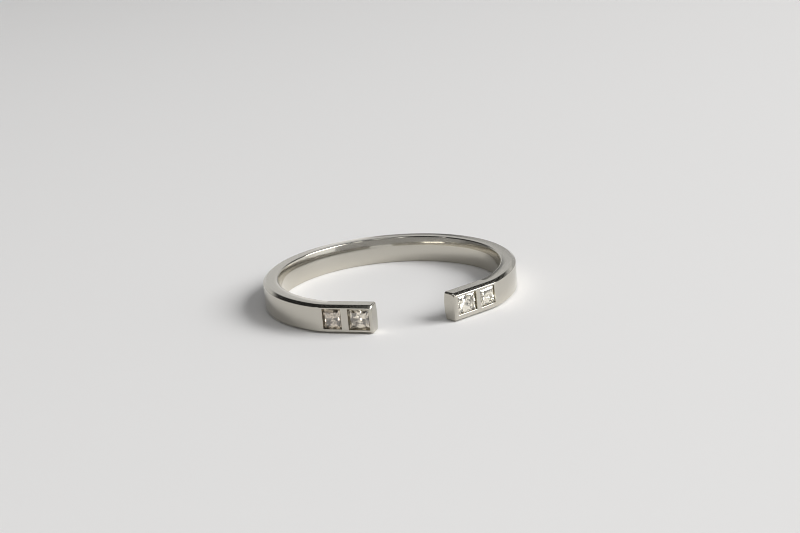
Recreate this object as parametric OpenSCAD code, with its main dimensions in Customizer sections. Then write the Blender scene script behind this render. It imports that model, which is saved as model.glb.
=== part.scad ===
// Open cuff ring in white gold, with two square diamonds set flush in each end.
// It lies on its side: the finger hole runs along Z, the gap faces -Y, and the
// origin is at the middle of the ring's box, on the surface that it lies on.

/* [Band] */
// Diameter of the finger hole in the round part of the band
hole_d = 17; // [14:0.25:21]
// Thickness of the band, from the finger outwards
band_t = 1.3; // [1.15:0.05:1.8]
// Height of the band, along the finger
band_h = 2.15; // [1.95:0.05:3]
// Rounding of the long edges on the outside of the band
outer_edge_r = 0.2; // [0.1:0.01:0.25]
// Rounding of the long edges on the finger side
inner_edge_r = 0.14; // [0.08:0.01:0.25]
// Rounding round the end faces
end_edge_r = 0.14; // [0.08:0.01:0.18]

/* [Straight ends] */
// Width of the gap between the ends, measured on the finger side
gap_w = 4.9; // [3:0.1:7]
// How far each end is pressed in from the round of the band
bar_inset = 0.28; // [0.2:0.01:0.4]

/* [Stones] */
// Side of a square stone at its girdle
stone_w = 1.55; // [1.3:0.05:1.7]
// Thickness of the girdle
girdle_h = 0.05; // [0.03:0.01:0.08]
// Crown of a stone in the left end: height from the girdle up to the table
left_crown_h = 0.2; // [0.1:0.01:0.22]
// Crown of a stone in the right end: height from the girdle up to the table
right_crown_h = 0.13; // [0.1:0.01:0.22]
// Table of a stone in the left end: width as a share of the stone's side
left_table = 0.62; // [0.55:0.01:0.8]
// Table of a stone in the right end: width as a share of the stone's side
right_table = 0.7; // [0.55:0.01:0.8]
// Depth of a stone in the left end as a share of the band's thickness
left_depth = 0.869; // [0.8:0.001:0.88]
// Depth of a stone in the right end as a share of the band's thickness
right_depth = 0.815; // [0.8:0.001:0.88]

/* [Setting] */
// Metal between the gap's end face and the nearer stone
end_wall = 0.26; // [0.2:0.01:0.4]
// Metal between the two stones of one end
stone_gap = 0.5; // [0.2:0.05:0.8]
// Flat metal beyond the farther stone
back_wall = 0.14; // [0.05:0.01:0.4]
// How far the metal's lip reaches over a stone's girdle
lip_w = 0.03; // [0.02:0.01:0.04]
// Thickness of that lip
lip_t = 0.06; // [0.04:0.01:0.07]
// Clearance between a stone and its seat
seat_clear = 0.03; // [0.02:0.01:0.05]
// Height of the stones' middle above the middle of the band
stone_rise = 0.06; // [0:0.01:0.1]

/* [Hidden] */
$fn = 96;
// How far shapes reach past the faces that cut them off
over = 0.5;
// Sides of a square stone
SIDES = 4;

// The four stones, set by hand: side of the ring, place from the gap, length along the band and
// height as shares of stone_w, how far from its even place, back and up, and its turn in degrees
LEFT = 1;
RIGHT = 0;
LEFT_END = [LEFT, 0, 1.06, 1, -0.02, 0, 0];
LEFT_BACK = [LEFT, 1, 0.93, 1, 0, 0, 0];
RIGHT_END = [RIGHT, 0, 1.13, 0.92, 0.12, 0.03, 0];
RIGHT_BACK = [RIGHT, 1, 0.94, 0.88, 0.1, 0.03, 2];
STONES = [LEFT_END, LEFT_BACK, RIGHT_END, RIGHT_BACK];

// How each end's stones are cut: table share, crown height, depth share and the pavilion's steps,
// each of them [depth, distance from the middle] as shares of its depth and half width
LEFT_CUT = [left_table, left_crown_h, left_depth, [[0.2, 0.87], [0.42, 0.68], [0.62, 0.48], [0.82, 0.24]]];
RIGHT_CUT = [right_table, right_crown_h, right_depth, [[0.35, 0.72], [0.72, 0.34]]];
// The crown's step at the middle of each side: shares of its height and of its width
CROWN_STEP = [0.45, 0.62];
// Half width of the bottom of a seat, as a share of the stone's side
SEAT_BOTTOM = 0.3;

hole_r = hole_d / 2;
outer_r = hole_r + band_t;

// Each straight end: distance of its faces from the ring's middle
bar_r = outer_r - bar_inset;
bar_inner_r = bar_r - band_t;
// Along the bar, from the foot of its normal: back to the round, and forward to the end face
bar_back = sqrt(outer_r * outer_r - bar_r * bar_r);
bar_len = end_wall + 2 * stone_w + stone_gap + back_wall;
bar_front = bar_len - bar_back;
// Angle between the middle of the gap and the bar's normal, which leaves gap_w between the ends
bar_angle = asin(gap_w / 2 / norm([bar_inner_r, bar_front])) + atan2(bar_front, bar_inner_r);
// Middle of the ring, which centres the ring's box on the origin
front_reach = (bar_r - end_edge_r) * cos(bar_angle) + (bar_front - end_edge_r) * sin(bar_angle) + end_edge_r;
ring_y = (front_reach - outer_r) / 2;

function side(stone) = stone[0];
function stone_l(stone) = stone_w * stone[2];
function stone_h(stone) = stone_w * stone[3];
// Distance of a stone's middle from the end face
function stone_place(stone) = end_wall + stone_w / 2 + stone[1] * (stone_w + stone_gap) + stone[4];
function stone_z(stone) = band_h / 2 + stone_rise + stone[5];
function turn(stone) = stone[6];
function cut(stone) = side(stone) == LEFT ? LEFT_CUT : RIGHT_CUT;
function crown_h(stone) = cut(stone)[1];
// Depths below the face that the stones are set in
function girdle_bottom(stone) = crown_h(stone) + girdle_h;
function tip(stone) = band_t * cut(stone)[2];

// Four corners of a rectangle of half sizes x and y, at height z
function corners(x, y, z) = [[x, y, z], [-x, y, z], [-x, -y, z], [x, -y, z]];
// The middles of that rectangle's four sides, each between two corners
function middles(x, y, z) = [[0, y, z], [-x, 0, z], [0, -y, z], [x, 0, z]];

// Rectangle with its corner at the origin and its two right-hand corners rounded
module round_ended(length, width, r) {
    square([length - r, width]);
    translate([0, r]) square([length, width - 2 * r]);
    for (y = [r, width - r]) translate([length - r, y]) circle(r);
}

// Moves what follows to one straight end: x outwards from the ring's middle, y away from the gap
module at_bar(side) {
    translate([0, ring_y, 0]) mirror([side, 0, 0]) rotate([0, 0, bar_angle - 90]) children();
}

// The round of the band, with only its finger side finished. It ends inside the straight ends.
module round_band() {
    translate([0, ring_y, 0]) rotate([0, 0, bar_angle - 90]) rotate_extrude(angle = 360 - 2 * bar_angle)
        translate([outer_r + over, 0]) mirror([1, 0]) round_ended(band_t + over, band_h, inner_edge_r);
}

// One straight end, with its finger side and its end face finished
module straight_end(side) {
    at_bar(side) intersection() {
        translate([bar_r + over, bar_back, 0]) mirror([1, 0, 0]) rotate([90, 0, 0])
            linear_extrude(bar_len + over) round_ended(band_t + over, band_h, inner_edge_r);
        // the end face's upright edges
        translate([bar_inner_r, bar_back, -over]) rotate([0, 0, -90])
            linear_extrude(band_h + 2 * over) round_ended(bar_len, band_t, end_edge_r);
        // its top and bottom edges
        translate([bar_inner_r - over, bar_back, 0]) rotate([90, 0, 0]) rotate([0, -90, 0]) mirror([0, 0, 1])
            linear_extrude(band_t + 2 * over) round_ended(bar_len, band_h, end_edge_r);
    }
}

// Everything on the inner side of one end's outer face, with that face's long edges rounded
module flat_side() {
    reach = 2 * outer_r;
    translate([bar_r - reach, reach, 0]) rotate([90, 0, 0])
        linear_extrude(2 * reach) round_ended(reach, band_h, outer_edge_r);
}

// What the outside of the ring keeps to: a round rim cut flat at both ends, with rounded edges
module outside() {
    rim_t = outer_r / 2;
    intersection() {
        translate([0, ring_y, 0]) rotate_extrude()
            translate([outer_r - rim_t, 0]) round_ended(rim_t, band_h, outer_edge_r);
        at_bar(LEFT) flat_side();
        at_bar(RIGHT) flat_side();
    }
}

// Moves what follows to a stone's place: z out of the band's face, y along the band
module at_stone(stone) {
    at_bar(side(stone)) translate([bar_r, stone_place(stone) - bar_front, stone_z(stone)])
        rotate([0, 90, 0]) rotate([0, 0, turn(stone)]) children();
}

module centred_box(x, y, low, high) {
    translate([-x / 2, -y / 2, low]) cube([x, y, high - low]);
}

// Wedge along y, from half width a at height top to half width b at height bottom
module wedge(a, b, top, bottom, length) {
    translate([0, length / 2, 0]) rotate([90, 0, 0]) linear_extrude(length)
        polygon([[-a, top], [a, top], [b, bottom], [-b, bottom]]);
}

// The space cut for one stone: the opening, the groove for the girdle and the funnel below it
module seat(stone) {
    h = stone_h(stone);
    l = stone_l(stone);
    top = -girdle_bottom(stone);
    bottom = -tip(stone) - seat_clear;
    at_stone(stone) {
        centred_box(h - 2 * lip_w, l - 2 * lip_w, -2 * lip_t, over);
        centred_box(h + 2 * seat_clear, l + 2 * seat_clear, top, -lip_t);
        intersection() {
            wedge(h / 2 + seat_clear, SEAT_BOTTOM * h, top, bottom, 2 * l);
            rotate([0, 0, 90]) wedge(l / 2 + seat_clear, SEAT_BOTTOM * l, top, bottom, 2 * h);
        }
    }
}

// Square brilliant: table, stepped crown, girdle, and a pavilion of chevrons down to a point.
// Its points lie in rings of four, numbered from the table down.
module cut_stone(stone) {
    a = stone_h(stone) / 2;
    b = stone_l(stone) / 2;
    t = cut(stone)[0];
    crown = crown_h(stone);
    girdle = girdle_bottom(stone);
    pavilion = tip(stone) - girdle;
    step = t + (1 - t) * CROWN_STEP[1];
    rings = [
        corners(a * t, b * t, 0),
        middles(a * step, b * step, -crown * CROWN_STEP[0]),
        corners(a, b, -crown),
        corners(a, b, -girdle),
        for (s = cut(stone)[3]) middles(a * s[1], b * s[1], -girdle - pavilion * s[0])
    ];
    // the rings' numbers
    table = 0;
    mid = 1;
    upper = 2;
    lower = 3;
    last = len(rings) - 1;
    function point(ring, i) = SIDES * ring + i % SIDES;
    polyhedron([for (ring = rings) each ring, [0, 0, -tip(stone)]], concat(
        [[for (i = [SIDES - 1:-1:0]) point(table, i)]],
        [for (i = [0:SIDES - 1]) each [
            [point(table, i), point(table, i + 1), point(mid, i)],
            [point(table, i), point(mid, i), point(upper, i)],
            [point(table, i + 1), point(upper, i + 1), point(mid, i)],
            [point(mid, i), point(upper, i + 1), point(upper, i)],
            [point(upper, i), point(upper, i + 1), point(lower, i + 1), point(lower, i)],
            [point(lower, i), point(lower, i + 1), point(lower + 1, i)]
        ]],
        [for (i = [0:SIDES - 1], ring = [lower + 1:last])
            let (from = point(ring, i), to = ring == last ? point(last + 1, 0) : point(ring + 1, i)) each [
            [point(lower, i), from, to],
            [point(lower, i + 1), to, from]
        ]]
    ));
}

module band() {
    color("#c2bdb4")
    difference() {
        intersection() {
            union() {
                round_band();
                straight_end(LEFT);
                straight_end(RIGHT);
            }
            outside();
        }
        for (stone = STONES) seat(stone);
    }
}

module set_stone(stone) {
    color("#e6e4dc") at_stone(stone) cut_stone(stone);
}

band();
set_stone(LEFT_END);  // stone_left_end
set_stone(LEFT_BACK);  // stone_left_back
set_stone(RIGHT_END);  // stone_right_end
set_stone(RIGHT_BACK);  // stone_right_back
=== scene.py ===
from math import asin, atan2, cos, hypot, pi, radians, sin, sqrt

import bmesh
import bpy
from mathutils import Matrix, Vector


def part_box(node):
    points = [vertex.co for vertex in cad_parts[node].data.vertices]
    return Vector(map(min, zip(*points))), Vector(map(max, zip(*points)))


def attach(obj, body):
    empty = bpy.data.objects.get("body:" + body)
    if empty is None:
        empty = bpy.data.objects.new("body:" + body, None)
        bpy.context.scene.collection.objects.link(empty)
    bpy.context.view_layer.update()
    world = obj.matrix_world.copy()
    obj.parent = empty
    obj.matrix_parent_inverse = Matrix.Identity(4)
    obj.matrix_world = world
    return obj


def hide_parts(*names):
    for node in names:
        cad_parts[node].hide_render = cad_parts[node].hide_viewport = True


# The looks of an open cuff ring: a polished white gold band whose straight ends each hold two
# square diamonds, flush with the metal. It lies on its side, with the gap towards -Y.
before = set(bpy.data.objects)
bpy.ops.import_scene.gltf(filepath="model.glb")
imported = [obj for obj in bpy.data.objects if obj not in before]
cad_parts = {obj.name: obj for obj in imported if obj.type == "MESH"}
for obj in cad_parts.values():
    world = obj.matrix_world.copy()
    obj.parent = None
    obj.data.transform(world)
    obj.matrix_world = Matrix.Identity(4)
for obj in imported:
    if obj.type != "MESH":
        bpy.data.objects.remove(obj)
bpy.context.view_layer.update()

MM = 0.001
# Corners and faces closer than this to a place are taken to lie on it
NEAR = 0.01 * MM

# Band: its outside is the model's, and its hole isn't in the model's box
BAND_LOW, BAND_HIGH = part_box("band")
OUTER_R = (BAND_HIGH.x - BAND_LOW.x) / 2
HOLE_R = 8.5 * MM
BAND_T = OUTER_R - HOLE_R
BAND_H = BAND_HIGH.z - BAND_LOW.z
RING_Y = BAND_HIGH.y - OUTER_R
ROUND_STEPS = 120
SMOOTH_BELOW = radians(25)

# Its edges: outside, a slope that is filed and then softened; inside, a slight bulge between
# rounded edges; and the rounding of the end faces
OUTER_EDGE_W = 0.25 * MM
OUTER_EDGE_H = 0.17 * MM
OUTER_EDGE_R = 0.025 * MM
OUTER_EDGE_STEPS = 4
INNER_EDGE_R = 0.08 * MM
INNER_EDGE_STEPS = 6
BULGE = 0.15 * MM
BULGE_STEPS = 10
END_EDGE_R = 0.14 * MM
END_EDGE_STEPS = 8

# Straight ends: pressed in from the round, with a soft bend where they begin
GAP_W = 4.9 * MM
BAR_INSET = 0.28 * MM
BAR_LEN = 4 * MM
BEND_R = 2.5 * MM
BEND_STEPS = 12
BAR_R = OUTER_R - BAR_INSET
BAR_INNER_R = BAR_R - BAND_T
BAR_FRONT = BAR_LEN - sqrt(OUTER_R**2 - BAR_R**2)
BAR_ANGLE = asin(GAP_W / 2 / hypot(BAR_INNER_R, BAR_FRONT)) + atan2(BAR_FRONT, BAR_INNER_R)

# Stones: the side of one, the metal before the first and between the two, and their height
STONE_W = 1.55 * MM
END_WALL = 0.26 * MM
STONE_GAP = 0.5 * MM
STONE_Z = BAND_H / 2 + 0.06 * MM

# Seats: the lip over a stone's edge with its bright-cut chamfer, the clearance round the girdle,
# and depths below the face. The bottom is narrower by SEAT_TAPER on each side.
LIP_W = 0.03 * MM
LIP_T = 0.06 * MM
CHAMFER = 0.012 * MM
SEAT_CLEAR = 0.03 * MM
GIRDLE_DEPTH = 0.25 * MM
SEAT_DEPTH = 1.15 * MM
SEAT_TAPER = STONE_W / 3
# How far the tool that cuts a seat stands out of the face
CUTTER_OUT = 0.2 * MM

# Each stone: its node and its tint, side of the ring (1 is right), place from the gap, length
# along the band and height as shares of STONE_W, how many mm from its even place, back and up, and
# its turn in degrees. Last, how many mm its seat is open at the back and below. The tint is a
# champagne stone colour with painted light and shade in it: darker for stone_left_back as painted
# shade, and lighter and whiter for the two stones on the right as painted light.
STONES = [
    ("stone_left_end", "#f5ebd8", -1, 0, 1.06, 1.0, -0.02, 0, 0, 0.05, 0.08),
    ("stone_left_back", "#dccebb", -1, 1, 0.93, 1.0, 0, 0, 0, 0.04, 0.04),
    ("stone_right_end", "#fff9e8", 1, 0, 1.13, 0.92, 0.12, 0.03, 0, 0.13, 0.02),
    ("stone_right_back", "#fff9e8", 1, 1, 0.94, 0.88, 0.1, 0.03, 2, 0.06, 0.05),
]

# Camera: its place round the ring's middle, and the ring's middle from the picture's middle
CAMERA_DISTANCE = 120 * MM
CAMERA_AZIMUTH = radians(-9.67)
CAMERA_ELEVATION = radians(16.33)
CAMERA_ROLL = radians(-5.13)
CAMERA_CLIP = 10 * MM
RING_IN_PICTURE = (-0.665 * MM, -2.094 * MM)
LENS = 69.35

# The room is dark, with a pale wall behind the ring, a grey one in front and dim sides between.
# An azimuth goes from the gap's side towards +X, and FRONT_FROM is off the pale wall's middle.
ROOM_LIGHT = 0.03
WALL_AZIMUTH = radians(168)
WALL_HALF_WIDTH = radians(48)
WALL_TOP = radians(21)
WALL_LIGHT = 0.85
SIDE_LIGHT = 0.22
FRONT_FROM = radians(95)
FRONT_TOP = radians(17)
FRONT_LIGHT = 0.45
# How softly all of these end: in radians at their sides, and in height over distance at the top
WALL_FADE = 0.12
# Straight overhead is a pale patch of ceiling
OVERHEAD_FROM = radians(75)
OVERHEAD_FULL = radians(80)
OVERHEAD_LIGHT = 0.7
# Low on the pale wall is what the band's flat top mirrors far back: azimuths in degrees, and how
# light they are
FAR_TOP = radians(16.2)
FAR_FADE = 0.005
FAR_VIEW = [
    (167.2, 0.6), (167.8, 0.12), (168.3, 0.12), (168.9, 0.38),
    (171.1, 0.42), (171.7, 1.3), (173.3, 1.3), (174, 0.85),
]

# Small lamps, for the sparkle in the stones: azimuths and elevations in degrees
LAMPS = [(-24, 26), (4, 48), (22, 27), (-36, 62), (38, 60), (-78, 34), (-4, 76)]

# The floor's sides, in metres
FLOOR_SIZE = 2
# How many facets a ray may meet before it ends, enough to light the stones from inside
BOUNCES = 24


def linear(colour):
    """An sRGB hex colour as linear RGBA."""
    shares = [int(colour[i:i + 2], 16) / 255 for i in (1, 3, 5)]
    return [s / 12.92 if s <= 0.04045 else ((s + 0.055) / 1.055) ** 2.4 for s in shares] + [1]


def add(tree, kind, links=(), **settings):
    """Adds a node with its settings. Links give a socket a value, or another node's output."""
    made = tree.nodes.new(kind)
    for name, value in settings.items():
        setattr(made, name, value)
    for socket, value in dict(links).items():
        if isinstance(value, bpy.types.NodeSocket):
            tree.links.new(value, made.inputs[socket])
        else:
            made.inputs[socket].default_value = value
    return made


def material(name):
    """A new material with an empty node tree."""
    made = bpy.data.materials.new(name)
    made.use_nodes = True
    made.node_tree.nodes.clear()
    return made


def polished_white_gold():
    """Unplated 14 carat white gold, polished by hand: a warm grey mirror with slight waves."""
    wave_w, wave_h = 2.5 * MM, 0.0025 * MM
    # polishing leaves scratches under 0.005 mm wide, which are drawn wider here so that they show
    scratch_w = MM / 60
    mirror, scratched = 0.08, 0.45
    # the grain is mirror bright up to the first of these values, and fully scratched from the last
    grain_from, grain_to = 0.52, 0.7

    made = material("polished_white_gold")
    tree = made.node_tree
    place = add(tree, "ShaderNodeTexCoord")
    waves = add(tree, "ShaderNodeTexNoise", {
        "Vector": place.outputs["Object"], "Scale": 1 / wave_w, "Detail": 1})
    bump = add(tree, "ShaderNodeBump", {
        "Height": waves.outputs["Fac"], "Strength": 1, "Distance": wave_h})
    # a grain of fine scratches that the polishing has left
    grain = add(tree, "ShaderNodeTexNoise", {
        "Vector": place.outputs["Object"], "Scale": 1 / scratch_w, "Detail": 2})
    satin = add(tree, "ShaderNodeMapRange", {
        "Value": grain.outputs["Fac"], "From Min": grain_from, "From Max": grain_to,
        "To Min": mirror, "To Max": scratched})
    metal = add(tree, "ShaderNodeBsdfPrincipled", {
        "Base Color": linear("#cbc7bd"), "Metallic": 1, "Roughness": satin.outputs["Result"],
        "Normal": bump.outputs["Normal"]})
    add(tree, "ShaderNodeOutputMaterial", {"Surface": metal.outputs["BSDF"]})
    return made


def cut_diamond(tint_and_painted_light):
    """Diamond, clear, with sharp, bright and dark facets. Its tint is a champagne stone colour,
    made darker per stone as painted shade or lighter as painted light.
    """
    made = material("cut_diamond")
    tree = made.node_tree
    gem = add(tree, "ShaderNodeBsdfPrincipled", {
        "Base Color": linear(tint_and_painted_light), "Roughness": 0, "IOR": 2.417, "Transmission Weight": 1})
    add(tree, "ShaderNodeOutputMaterial", {"Surface": gem.outputs["BSDF"]})
    return made


def pale_paper():
    """Matt off-white paper under the ring."""
    made = material("pale_paper")
    tree = made.node_tree
    paper = add(tree, "ShaderNodeBsdfPrincipled", {
        "Base Color": linear("#ecebea"), "Roughness": 0.7, "Specular IOR Level": 0.2})
    add(tree, "ShaderNodeOutputMaterial", {"Surface": paper.outputs["BSDF"]})
    return made


def start_plane(name, width, height, **place):
    """Adds a rectangle with its place in its mesh, alone selected, and opens it in edit mode."""
    bpy.ops.object.select_all(action="DESELECT")
    bpy.ops.mesh.primitive_plane_add(size=1, **place)
    piece = bpy.context.object
    piece.name = name
    piece.scale = (width, height, 1)
    bpy.ops.object.transform_apply()
    bpy.ops.object.mode_set(mode="EDIT")
    return piece


def select(kind, wanted):
    """In edit mode, selects only the vertices or faces that wanted() accepts."""
    bpy.ops.mesh.select_mode(type=kind)
    bpy.ops.mesh.select_all(action="DESELECT")
    data = bpy.context.edit_object.data
    mesh = bmesh.from_edit_mesh(data)
    for item in mesh.verts if kind == "VERT" else mesh.faces:
        item.select_set(wanted(item))
    mesh.select_flush_mode()
    bmesh.update_edit_mesh(data)


def extrude(by):
    """In edit mode, draws the selected faces out by that much."""
    bpy.ops.mesh.extrude_region_move(
        TRANSFORM_OT_translate={"value": by, "orient_type": "GLOBAL"})


def finish_shape():
    """Turns all faces of the piece in edit mode outwards, and leaves edit mode."""
    bpy.ops.mesh.select_all(action="SELECT")
    bpy.ops.mesh.normals_make_consistent(inside=False)
    bpy.ops.object.mode_set(mode="OBJECT")


def apply_modifier(piece, kind, **settings):
    """Adds a modifier to the piece and applies it."""
    bpy.context.view_layer.objects.active = piece
    made = piece.modifiers.new(kind.lower(), kind)
    for name, value in settings.items():
        setattr(made, name, value)
    bpy.ops.object.modifier_apply(modifier=made.name)


def bar_axes(side):
    """Outwards from one straight end, and along it away from the gap."""
    outwards = Vector((side * sin(BAR_ANGLE), -cos(BAR_ANGLE), 0))
    return outwards, Vector((side * cos(BAR_ANGLE), sin(BAR_ANGLE), 0))


def round_corners(radius, segments):
    """Rounds the section's selected corners, or cuts them straight with one segment."""
    bpy.ops.mesh.bevel(offset=radius, segments=segments, profile=0.5, affect="VERTICES")


def outside(vert):
    """Whether a corner of the section is on the outside of the band."""
    return vert.co.y > RING_Y + (HOLE_R + OUTER_R) / 2


def file_outer_edges():
    """Files the section's outer edges to a slope, wider on top, and then softens it."""
    select("VERT", outside)
    round_corners(OUTER_EDGE_H, 1)
    select("VERT", lambda v: outside(v) and v.co.y - RING_Y < OUTER_R - OUTER_EDGE_H / 2)
    wider = (0, OUTER_EDGE_H - OUTER_EDGE_W, 0)
    bpy.ops.transform.translate(value=wider, orient_type="GLOBAL")
    select("VERT", outside)
    round_corners(OUTER_EDGE_R, OUTER_EDGE_STEPS)


def bulge_finger_side():
    """Makes the section's finger side bulge a little between its rounded edges."""
    select("VERT", lambda v: not outside(v))
    bpy.ops.mesh.subdivide(number_cuts=BULGE_STEPS - 1)
    for i in range(BULGE_STEPS + 1):
        height = BAND_H * i / BULGE_STEPS
        select("VERT", lambda v: not outside(v) and abs(v.co.z - height) < NEAR)
        hollow = (0, BULGE * (2 * i / BULGE_STEPS - 1)**2, 0)
        bpy.ops.transform.translate(value=hollow, orient_type="GLOBAL")
    select("VERT", lambda v: not outside(v) and not NEAR < v.co.z < BAND_H - NEAR)
    round_corners(INNER_EDGE_R, INNER_EDGE_STEPS)


def rounded_size(size, turn):
    """What a rounded end leaves of the band's thickness or height at a turn of the rounding."""
    return size - 2 * END_EDGE_R * (1 - cos(turn))


def band_half():
    """The right half of the band: its section turned round the finger, then drawn out straight."""
    mid_r = (HOLE_R + OUTER_R) / 2
    bar_mid_r = BAR_R - BAND_T / 2
    half = start_plane("band_piece", BAND_H, BAND_T,
                       location=(0, RING_Y + mid_r, BAND_H / 2), rotation=(0, pi / 2, 0))
    file_outer_edges()
    bulge_finger_side()

    # the bend between the round and the straight end touches both
    outwards, along = bar_axes(1)
    bend_back = sqrt((mid_r - BEND_R)**2 - (bar_mid_r - BEND_R)**2)
    bend_angle = atan2(bend_back, bar_mid_r - BEND_R)
    ring_middle = Vector((0, RING_Y, 0))
    bend_middle = ring_middle + outwards * (bar_mid_r - BEND_R) + along * bend_back
    round_angle = pi - BAR_ANGLE - bend_angle
    select("FACE", lambda f: True)
    bpy.ops.mesh.spin(steps=ROUND_STEPS, angle=round_angle, center=ring_middle, axis=(0, 0, 1))
    bpy.ops.mesh.spin(steps=BEND_STEPS, angle=bend_angle, center=bend_middle, axis=(0, 0, 1))
    straight = bend_back + BAR_FRONT - END_EDGE_R
    extrude(along * -straight)

    # the end is rounded off in steps, each a little smaller than the last
    turns = [pi / 2 * i / END_EDGE_STEPS for i in range(END_EDGE_STEPS + 1)]
    bar_middle = ring_middle + outwards * bar_mid_r + Vector((0, 0, BAND_H / 2))
    for turn, next_turn in zip(turns, turns[1:]):
        extrude(along * END_EDGE_R * (sin(turn) - sin(next_turn)))
        thinner, lower = (
            rounded_size(size, next_turn) / rounded_size(size, turn) for size in (BAND_T, BAND_H))
        bpy.ops.transform.resize(
            value=(1, thinner, lower), orient_type="GLOBAL", orient_matrix_type="GLOBAL",
            orient_matrix=(along, outwards, (0, 0, 1)), center_override=bar_middle)
    return half


def seat_cutter(side, place, length_share, height_share, back, up, turn, open_back, open_below):
    """What is cut away for one stone: an opening with a bright-cut edge, and a seat below it."""
    length = STONE_W * length_share + open_back * MM
    height = STONE_W * height_share + open_below * MM
    # how far below the face, and how much wider than the stone on each side
    opening = -LIP_W
    steps = [
        (-CUTTER_OUT, opening + CHAMFER), (0, opening + CHAMFER), (CHAMFER, opening),
        (LIP_T, opening), (LIP_T, SEAT_CLEAR), (GIRDLE_DEPTH, SEAT_CLEAR),
        (SEAT_DEPTH, -SEAT_TAPER),
    ]
    depth, grown = steps[0]
    high, long = height + 2 * grown, length + 2 * grown
    cutter = start_plane("seat_cutter", high, long, location=(0, 0, -depth))
    for next_depth, grown in steps[1:]:
        next_high, next_long = height + 2 * grown, length + 2 * grown
        extrude((0, 0, depth - next_depth))
        bpy.ops.transform.resize(value=(next_high / high, next_long / long, 1))
        depth, high, long = next_depth, next_high, next_long
    finish_shape()

    outwards, along = bar_axes(side)
    from_end = END_WALL + STONE_W / 2 + place * (STONE_W + STONE_GAP) + (back + open_back / 2) * MM
    middle = Vector((0, RING_Y, STONE_Z + (up - open_below / 2) * MM))
    middle += outwards * BAR_R + along * (from_end - BAR_FRONT)
    axes = Matrix((along.cross(outwards), along, outwards)).transposed().to_4x4()
    turned = Matrix.Rotation(radians(turn), 4, "Z")
    cutter.matrix_world = Matrix.Translation(middle) @ axes @ turned
    return cutter


def band(metal):
    """The whole band, with its four seats cut in."""
    piece = band_half()
    select("FACE", lambda f: abs(f.calc_center_median().x) < NEAR)
    bpy.ops.mesh.delete(type="FACE")
    finish_shape()
    apply_modifier(piece, "MIRROR", merge_threshold=NEAR / 10)
    for _, _, *stone in STONES:
        cutter = seat_cutter(*stone)
        apply_modifier(piece, "BOOLEAN", object=cutter, operation="DIFFERENCE", solver="EXACT")
        bpy.data.objects.remove(cutter)
    bpy.ops.object.select_all(action="DESELECT")
    piece.select_set(True)
    bpy.context.view_layer.objects.active = piece
    bpy.ops.object.shade_smooth_by_angle(angle=SMOOTH_BELOW)
    apply_modifier(piece, "WEIGHTED_NORMAL", keep_sharp=True)
    piece.data.materials.clear()
    piece.data.materials.append(metal)
    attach(piece, "root")
    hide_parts("band")


def floor():
    """The pale surface that the ring lies on."""
    piece = start_plane("floor", FLOOR_SIZE, FLOOR_SIZE)
    bpy.ops.object.mode_set(mode="OBJECT")
    piece.data.materials.append(pale_paper())


def direction(azimuth, elevation):
    """The direction of an azimuth, from the gap's side towards +X, and an elevation."""
    return Vector((
        sin(azimuth) * cos(elevation), -cos(azimuth) * cos(elevation), sin(elevation)))


def softbox(name, azimuth, elevation, distance, width, height, power):
    """A soft white light that faces the ring. Angles are in degrees, and sizes in metres."""
    towards = direction(radians(azimuth), radians(elevation))
    bpy.ops.object.light_add(type="AREA", location=towards * distance)
    light = bpy.context.object
    light.name = name
    light.rotation_euler = towards.to_track_quat("Z", "Y").to_euler()
    light.data.shape = "RECTANGLE"
    light.data.size, light.data.size_y = width, height
    light.data.energy = power
    return light


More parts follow.
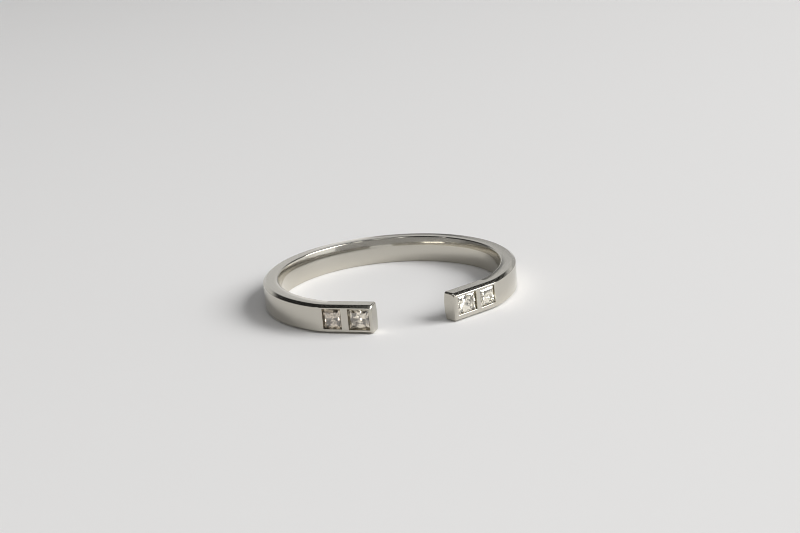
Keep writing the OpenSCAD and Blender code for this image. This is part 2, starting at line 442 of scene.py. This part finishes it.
def surroundings():
    """The dark room. The band's rounded edges show the dark above its pale wall as a dark line."""
    world = bpy.data.worlds.new("studio")
    bpy.context.scene.world = world
    world.use_nodes = True
    tree = world.node_tree
    tree.nodes.clear()
    place = add(tree, "ShaderNodeTexCoord")
    parts = add(tree, "ShaderNodeSeparateXYZ", {"Vector": place.outputs["Generated"]})
    height = parts.outputs["Z"]

    # the angle from straight back, towards -X, and how far that is from the pale wall's middle
    flipped = add(tree, "ShaderNodeMath", {0: parts.outputs["X"], 1: -1}, operation="MULTIPLY")
    heading = add(tree, "ShaderNodeMath", {
        0: flipped.outputs["Value"], 1: parts.outputs["Y"]}, operation="ARCTAN2")
    off_wall = add(tree, "ShaderNodeMath", {
        0: heading.outputs["Value"], 1: WALL_AZIMUTH - pi}, operation="SUBTRACT")
    wrapped = add(tree, "ShaderNodeMath", {
        0: off_wall.outputs["Value"], 1: pi, 2: -pi}, operation="WRAP")
    aside = add(tree, "ShaderNodeMath", {0: wrapped.outputs["Value"]}, operation="ABSOLUTE")

    # the far view, and the plain wall above it
    (first, first_light), *between, (last, last_light) = FAR_VIEW
    across = add(tree, "ShaderNodeMapRange", {
        "Value": heading.outputs["Value"],
        "From Min": radians(first) - pi, "From Max": radians(last) - pi})
    view = add(tree, "ShaderNodeValToRGB", {"Fac": across.outputs["Result"]})
    marks = view.color_ramp.elements
    for azimuth, light in between:
        marks.new((azimuth - first) / (last - first)).color = (light, light, light, 1)
    for end, light in ((0, first_light), (-1, last_light)):
        marks[end].color = (light, light, light, 1)
    above = add(tree, "ShaderNodeMapRange", {
        "Value": height,
        "From Min": sin(FAR_TOP) - FAR_FADE, "From Max": sin(FAR_TOP) + FAR_FADE},
        interpolation_type="SMOOTHSTEP")
    wall = add(tree, "ShaderNodeMapRange", {
        "Value": above.outputs["Result"], "To Min": view.outputs["Color"], "To Max": WALL_LIGHT})

    # the back, the front and the sides each end in the dark at their tops
    back = add(tree, "ShaderNodeMapRange", {
        "Value": height, "From Min": sin(WALL_TOP), "From Max": sin(WALL_TOP) + WALL_FADE,
        "To Min": wall.outputs["Result"], "To Max": ROOM_LIGHT},
        interpolation_type="SMOOTHSTEP")
    front = add(tree, "ShaderNodeMapRange", {
        "Value": height, "From Min": sin(FRONT_TOP), "From Max": sin(FRONT_TOP) + WALL_FADE,
        "To Min": FRONT_LIGHT, "To Max": ROOM_LIGHT},
        interpolation_type="SMOOTHSTEP")
    side = add(tree, "ShaderNodeMapRange", {
        "Value": height, "From Min": sin(WALL_TOP), "From Max": sin(WALL_TOP) + WALL_FADE,
        "To Min": SIDE_LIGHT, "To Max": ROOM_LIGHT},
        interpolation_type="SMOOTHSTEP")

    # round the ring they follow each other softly, under the patch of ceiling
    beside = add(tree, "ShaderNodeMapRange", {
        "Value": aside.outputs["Value"],
        "From Min": WALL_HALF_WIDTH - WALL_FADE, "From Max": WALL_HALF_WIDTH + WALL_FADE,
        "To Min": back.outputs["Result"], "To Max": side.outputs["Result"]},
        interpolation_type="SMOOTHSTEP")
    round_about = add(tree, "ShaderNodeMapRange", {
        "Value": aside.outputs["Value"],
        "From Min": FRONT_FROM - WALL_FADE, "From Max": FRONT_FROM + WALL_FADE,
        "To Min": beside.outputs["Result"], "To Max": front.outputs["Result"]},
        interpolation_type="SMOOTHSTEP")
    roofed = add(tree, "ShaderNodeMapRange", {
        "Value": height, "From Min": sin(OVERHEAD_FROM), "From Max": sin(OVERHEAD_FULL),
        "To Min": round_about.outputs["Result"], "To Max": OVERHEAD_LIGHT},
        interpolation_type="SMOOTHSTEP")
    room = add(tree, "ShaderNodeBackground", {"Strength": roofed.outputs["Result"]})
    add(tree, "ShaderNodeOutputWorld", {"Surface": room.outputs["Background"]})


def camera():
    """The camera at the photograph's angle, a little above the floor."""
    turn = (Matrix.Rotation(CAMERA_AZIMUTH, 4, "Z")
            @ Matrix.Rotation(pi / 2 - CAMERA_ELEVATION, 4, "X")
            @ Matrix.Rotation(CAMERA_ROLL, 4, "Z"))
    x, y = RING_IN_PICTURE
    bpy.ops.object.camera_add()
    made = bpy.context.object
    made.matrix_world = (Matrix.Translation((0, RING_Y, 0)) @ turn
                         @ Matrix.Translation((-x, -y, CAMERA_DISTANCE)))
    made.data.lens = LENS
    made.data.clip_start = CAMERA_CLIP
    bpy.context.scene.camera = made


camera()
floor()
band(polished_white_gold())
# each stone's tint is its champagne colour with painted light or painted shade in it
for name, tint_and_painted_light, *_ in STONES:
    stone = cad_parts[name]
    stone.data.materials.clear()
    stone.data.materials.append(cut_diamond(tint_and_painted_light))
softbox("window", azimuth=70, elevation=36, distance=1.2, width=0.9, height=0.7, power=16.8)
softbox("sill", azimuth=84, elevation=8, distance=1.5, width=2.2, height=0.45, power=2.2)
# the ceiling lights the floor, and the metal doesn't mirror it
ceiling = softbox("ceiling", azimuth=0, elevation=90, distance=1.8, width=1.5, height=1.5, power=1)
ceiling.visible_glossy = False
for azimuth, elevation in LAMPS:
    softbox("lamp", azimuth, elevation, distance=1.2, width=0.15, height=0.15, power=0.4)
surroundings()
bpy.context.scene.cycles.filter_width = 1
bpy.context.scene.cycles.max_bounces = BOUNCES
bpy.context.scene.cycles.glossy_bounces = BOUNCES
bpy.context.scene.cycles.transmission_bounces = BOUNCES
bpy.context.scene.view_settings.view_transform = "Standard"
